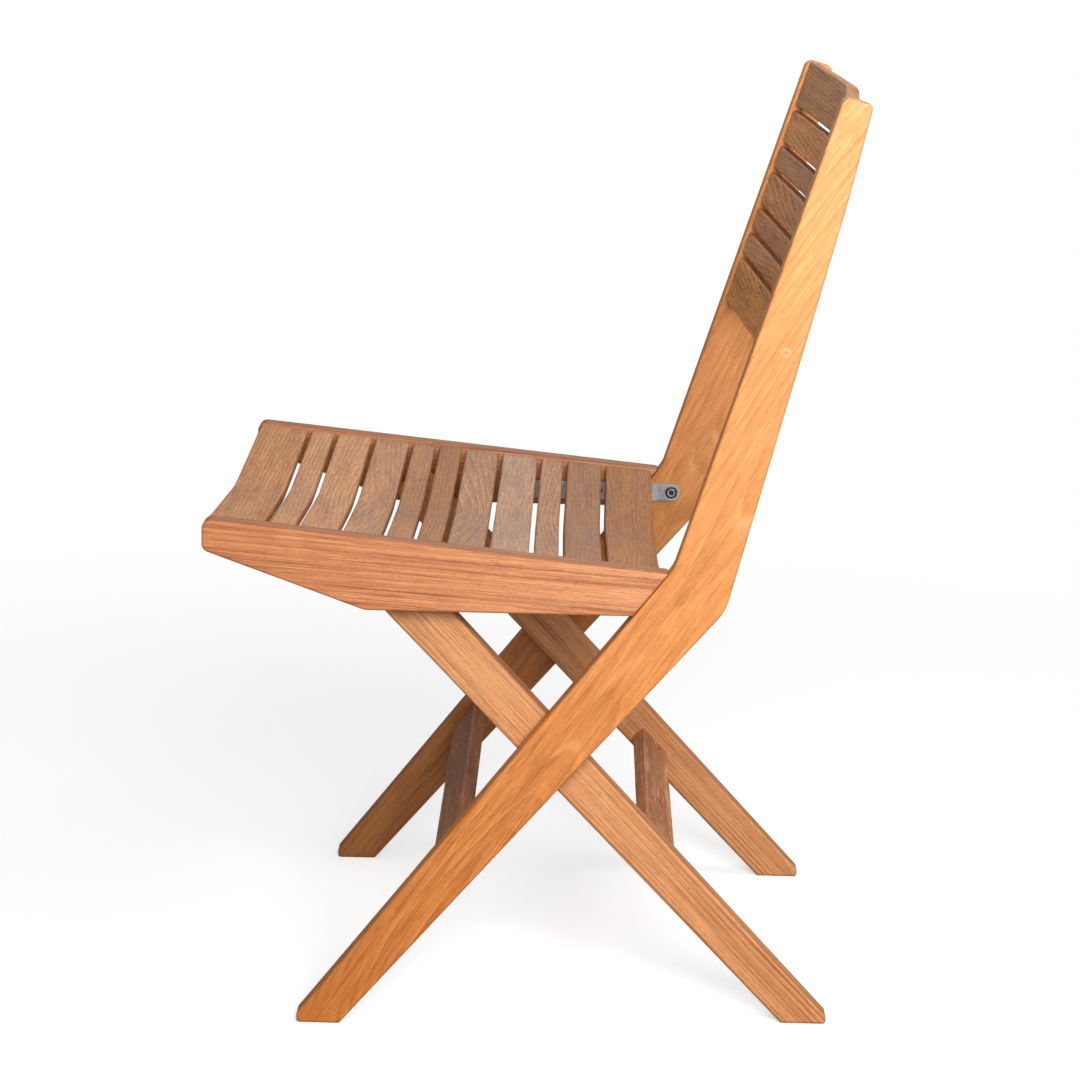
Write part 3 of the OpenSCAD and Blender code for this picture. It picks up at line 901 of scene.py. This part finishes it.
def turned(name, axis_point, outward, profile, sides=48):
    """Turned part about the X axis, from rings of reach, height, six-sided share and finish."""
    mesh = bmesh.new()
    rings = []
    for reach, height, hexed, _ in profile:
        ring = []
        for i in range(sides):
            around = 2 * math.pi * i / sides
            within = (around % (math.pi / 3)) - math.pi / 6
            radius = reach * ((1 - hexed) + hexed / math.cos(within))
            ring.append(mesh.verts.new((
                axis_point.x + outward * height,
                axis_point.y + radius * math.cos(around),
                axis_point.z + radius * math.sin(around))))
        rings.append(ring)
    for first, second, (_, _, _, finish) in zip(rings, rings[1:], profile[1:]):
        for i in range(sides):
            face = mesh.faces.new((first[i - 1], first[i], second[i], second[i - 1]))
            face.material_index = finish
    mesh.faces.new(rings[0])
    mesh.faces.new(rings[-1]).material_index = profile[-1][-1]
    bmesh.ops.recalc_face_normals(mesh, faces=mesh.faces)
    data = bpy.data.meshes.new(name)
    mesh.to_mesh(data)
    mesh.free()
    return data


def joined(name, meshes):
    """One object of several meshes."""
    whole = bmesh.new()
    for mesh in meshes:
        whole.from_mesh(mesh)
        bpy.data.meshes.remove(mesh)
    data = bpy.data.meshes.new(name)
    whole.to_mesh(data)
    whole.free()
    return new_piece(name, data)


def bolt_profile(metal, low):
    """Rings of a socket-head shoulder bolt, from the shank's end to the socket's bottom."""
    head, height, socket = metal.head_radius, metal.head_height, metal.socket_radius
    # Finish 1 is the near-black steel: painted shade in the socket, and a dark ring on the head's
    # side and groove.
    bright, dark = 0, 1
    return [
        (2.6 * MM, low, 0, bright), (3 * MM, low + 0.6 * MM, 0, bright),
        (3 * MM, -3.1 * MM, 0, bright),
        (4 * MM, -2.9 * MM, 0, bright), (4 * MM, 0, 0, bright), (head - 0.3 * MM, 0, 0, bright),
        (head, 0.3 * MM, 0, dark), (head, height - 0.9 * MM, 0, dark),
        (head - 0.2 * MM, height - 0.6 * MM, 0, dark),
        (head - 0.4 * MM, height - 0.6 * MM, 0, dark),
        (head - 0.6 * MM, height - 1.9 * MM, 0, dark),
        (head - 1.7 * MM, height - 1.9 * MM, 0, dark),
        (head - 1.8 * MM, height - 0.25 * MM, 0, bright), (head - 2.1 * MM, height, 0, bright),
        (socket + 0.5 * MM, height, 0.6, bright), (socket + 0.1 * MM, height - 0.3 * MM, 1, bright),
        (socket, height - 1.9 * MM, 1, dark), (0.3 * MM, height - 2.0 * MM, 0, dark),
    ]


class CHAIR_OT_link_plates(Operator):
    """Build the bevelled steel links of the folding linkage."""
    bl_idname = "chair.link_plates"
    bl_label = "Link Plates"

    def execute(self, context):
        for side in SIDES:
            node = f"hinge_link_{side}"
            mesh = merged(node)
            bmesh.ops.dissolve_limit(
                mesh, angle_limit=math.radians(1), verts=mesh.verts, edges=mesh.edges)
            data = bpy.data.meshes.new(f"link_plate_{side}")
            mesh.to_mesh(data)
            mesh.free()
            piece = new_piece(f"link_plate_{side}", data)
            soften(piece, context.scene.chair_metal.plate_edge, 3)
            piece.data.materials.append(stainless())
            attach(piece, "links")
            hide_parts(node)
        return {"FINISHED"}


class CHAIR_OT_link_bolts(Operator):
    """Build the socket-head bolts that hold the links."""
    bl_idname = "chair.link_bolts"
    bl_label = "Link Bolts"

    def execute(self, context):
        metal = context.scene.chair_metal
        plate_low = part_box("hinge_link_left")[0]
        for node, body in (("link_post_bolts", "frame"), ("link_seat_bolts", "seat")):
            low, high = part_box(node)
            meshes = []
            for side in SIDES.values():
                under_head = plate_low.x - metal.head_gap
                place = Vector((side * under_head, (low.y + high.y) / 2, (low.z + high.z) / 2))
                profile = bolt_profile(metal, under_head - high.x)
                meshes.append(turned(node, place, -side, profile))
            piece = joined(f"{node}_turned", meshes)
            piece.data.materials.append(stainless())
            piece.data.materials.append(shadowed_steel())
            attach(piece, body)
            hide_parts(node)
        return {"FINISHED"}


def recoat(nodes, material):
    """Gives CAD nodes that are shown as they are a finish."""
    for node in nodes:
        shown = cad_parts[node]
        shown.data.materials.clear()
        shown.data.materials.append(material)


class CHAIR_OT_pins(Operator):
    """Give the pins, inserts, washers and bushes their finish."""
    bl_idname = "chair.pins"
    bl_label = "Pins and Washers"

    def execute(self, context):
        recoat(STEEL_PARTS, stainless())
        recoat(NYLON_PARTS, nylon())
        return {"FINISHED"}


# ---- Studio ----

def area_light(name, place, target, size, power):
    """Large soft light aimed at a point."""
    data = bpy.data.lights.new(name, "AREA")
    data.shape = "DISK"
    data.size = size
    data.energy = power
    lamp = bpy.data.objects.new(name, data)
    bpy.context.scene.collection.objects.link(lamp)
    lamp.visible_camera = False
    lamp.location = place
    lamp.rotation_euler = (Vector(target) - Vector(place)).to_track_quat("-Z", "Y").to_euler()


def paper_floor(bounce):
    """Pale floor that looks nearly white and throws back little light."""
    made, tree, shader = new_material("paper floor")
    shader.inputs["Base Color"].default_value = (FLOOR_TINT, FLOOR_TINT, FLOOR_TINT, 1)
    shader.inputs["Roughness"].default_value = 0.9
    shader.inputs["Specular IOR Level"].default_value = 0.0
    shader.inputs["Emission Color"].default_value = (1, 1, 1, 1)
    shader.inputs["Emission Strength"].default_value = FLOOR_GLOW
    reach = add(tree, "ShaderNodeVectorMath", {0: object_place(tree)}, operation="LENGTH")
    far = ramp(tree, reach.outputs["Value"], 0.5, 2.0)
    glow = add(tree, "ShaderNodeEmission", {"Color": (1, 1, 1, 1), "Strength": 1.0})
    seen = add(tree, "ShaderNodeMixShader", {0: far, 1: shader.outputs[0], 2: glow.outputs[0]})
    dull = add(tree, "ShaderNodeBsdfDiffuse", {"Color": (bounce, bounce, bounce, 1)})
    path = add(tree, "ShaderNodeLightPath")
    mixed = add(
        tree, "ShaderNodeMixShader",
        {0: path.outputs["Is Camera Ray"], 1: dull.outputs[0], 2: seen.outputs[0]})
    feed(tree, tree.nodes["Material Output"].inputs["Surface"], mixed.outputs[0])
    return made


def white_sky(strength):
    """World that lights evenly and looks white behind the chair."""
    world = bpy.data.worlds.new("studio")
    bpy.context.scene.world = world
    world.use_nodes = True
    tree = world.node_tree
    shine = tree.nodes["Background"]
    seen = add(tree, "ShaderNodeBackground", {"Color": (1, 1, 1, 1), "Strength": 1.0})
    shine.inputs["Color"].default_value = (1, 1, 1, 1)
    shine.inputs["Strength"].default_value = strength
    path = add(tree, "ShaderNodeLightPath")
    mixed = add(
        tree, "ShaderNodeMixShader",
        {0: path.outputs["Is Camera Ray"], 1: shine.outputs[0], 2: seen.outputs[0]})
    feed(tree, tree.nodes["World Output"].inputs["Surface"], mixed.outputs[0])


class CHAIR_OT_stage(Operator):
    """Set up the floor, the lights and the camera."""
    bl_idname = "chair.stage"
    bl_label = "Studio"

    def execute(self, context):
        scene = context.scene
        stage = scene.chair_stage
        data = bpy.data.meshes.new("floor")
        corners = [(x * FLOOR_HALF, y * FLOOR_HALF, 0)
                   for x, y in ((-1, -1), (1, -1), (1, 1), (-1, 1))]
        data.from_pydata(corners, [], [(0, 1, 2, 3)])
        data.materials.append(paper_floor(stage.floor_bounce))
        new_piece("floor", data)
        white_sky(stage.sky)
        area_light("key light", (2.7, 0.5, 1.5), (0, 0, 0.5), 1.4, stage.key_power)
        area_light("top light", (0.3, 1.7, 2.3), (0, 0, 0.4), 1.4, stage.top_power)
        area_light("side light", (-2.4, 0.1, 1.35), (0, 0, 0.45), 1.2, stage.side_power)
        area_light("front light", (1.2, -2.4, 1.5), (0, 0, 0.5), 1.6, stage.front_power)
        camera = bpy.data.cameras.new("camera")
        camera.lens = stage.camera_lens
        camera.sensor_width = 36
        eye = bpy.data.objects.new("camera", camera)
        scene.collection.objects.link(eye)
        sideways = Matrix(((0, 0, 1), (1, 0, 0), (0, 1, 0)))
        turned_eye = Matrix.Rotation(stage.camera_turn, 3, "Z") @ sideways
        turned_eye = turned_eye @ Matrix.Rotation(-stage.camera_pitch, 3, "X")
        turned_eye = turned_eye @ Matrix.Rotation(stage.camera_roll, 3, "Z")
        eye.matrix_world = Matrix.Translation(
            (stage.camera_x, stage.camera_y, stage.camera_z)) @ turned_eye.to_4x4()
        scene.camera = eye
        scene.view_settings.view_transform = "Standard"
        return {"FINISHED"}


class CHAIR_PT_panel(Panel):
    """Sidebar panel that lists the chair's pieces."""
    bl_label = "Folding Chair"
    bl_idname = "CHAIR_PT_panel"
    bl_space_type = "VIEW_3D"
    bl_region_type = "UI"
    bl_category = "Chair"

    def draw(self, context):
        for operator in OPERATORS:
            self.layout.operator(operator.bl_idname)
        for group in SETTINGS:
            settings = getattr(context.scene, group)
            box = self.layout.box()
            for name in settings.__annotations__:
                box.prop(settings, name)


OPERATORS = (
    CHAIR_OT_side_posts, CHAIR_OT_seat_rails, CHAIR_OT_rear_legs, CHAIR_OT_stretchers,
    CHAIR_OT_seat_slats, CHAIR_OT_back_slats, CHAIR_OT_link_plates, CHAIR_OT_link_bolts,
    CHAIR_OT_pins, CHAIR_OT_stage,
)
SETTINGS = {
    "chair_wood": ChairWoodSettings,
    "chair_metal": ChairMetalSettings,
    "chair_stage": ChairStageSettings,
}


def register():
    """Registers the settings, operators and panel."""
    for name, settings in SETTINGS.items():
        bpy.utils.register_class(settings)
        setattr(bpy.types.Scene, name, PointerProperty(type=settings))
    for item in (*OPERATORS, CHAIR_PT_panel):
        bpy.utils.register_class(item)


def unregister():
    """Removes what register added."""
    for item in (CHAIR_PT_panel, *reversed(OPERATORS)):
        bpy.utils.unregister_class(item)
    for name, settings in SETTINGS.items():
        delattr(bpy.types.Scene, name)
        bpy.utils.unregister_class(settings)


def main():
    """Builds every piece and the studio."""
    register()
    bpy.ops.chair.side_posts()
    bpy.ops.chair.seat_rails()
    bpy.ops.chair.rear_legs()
    bpy.ops.chair.stretchers()
    bpy.ops.chair.seat_slats()
    bpy.ops.chair.back_slats()
    bpy.ops.chair.link_plates()
    bpy.ops.chair.link_bolts()
    bpy.ops.chair.pins()
    bpy.ops.chair.stage()


if __name__ == "__main__":
    main()
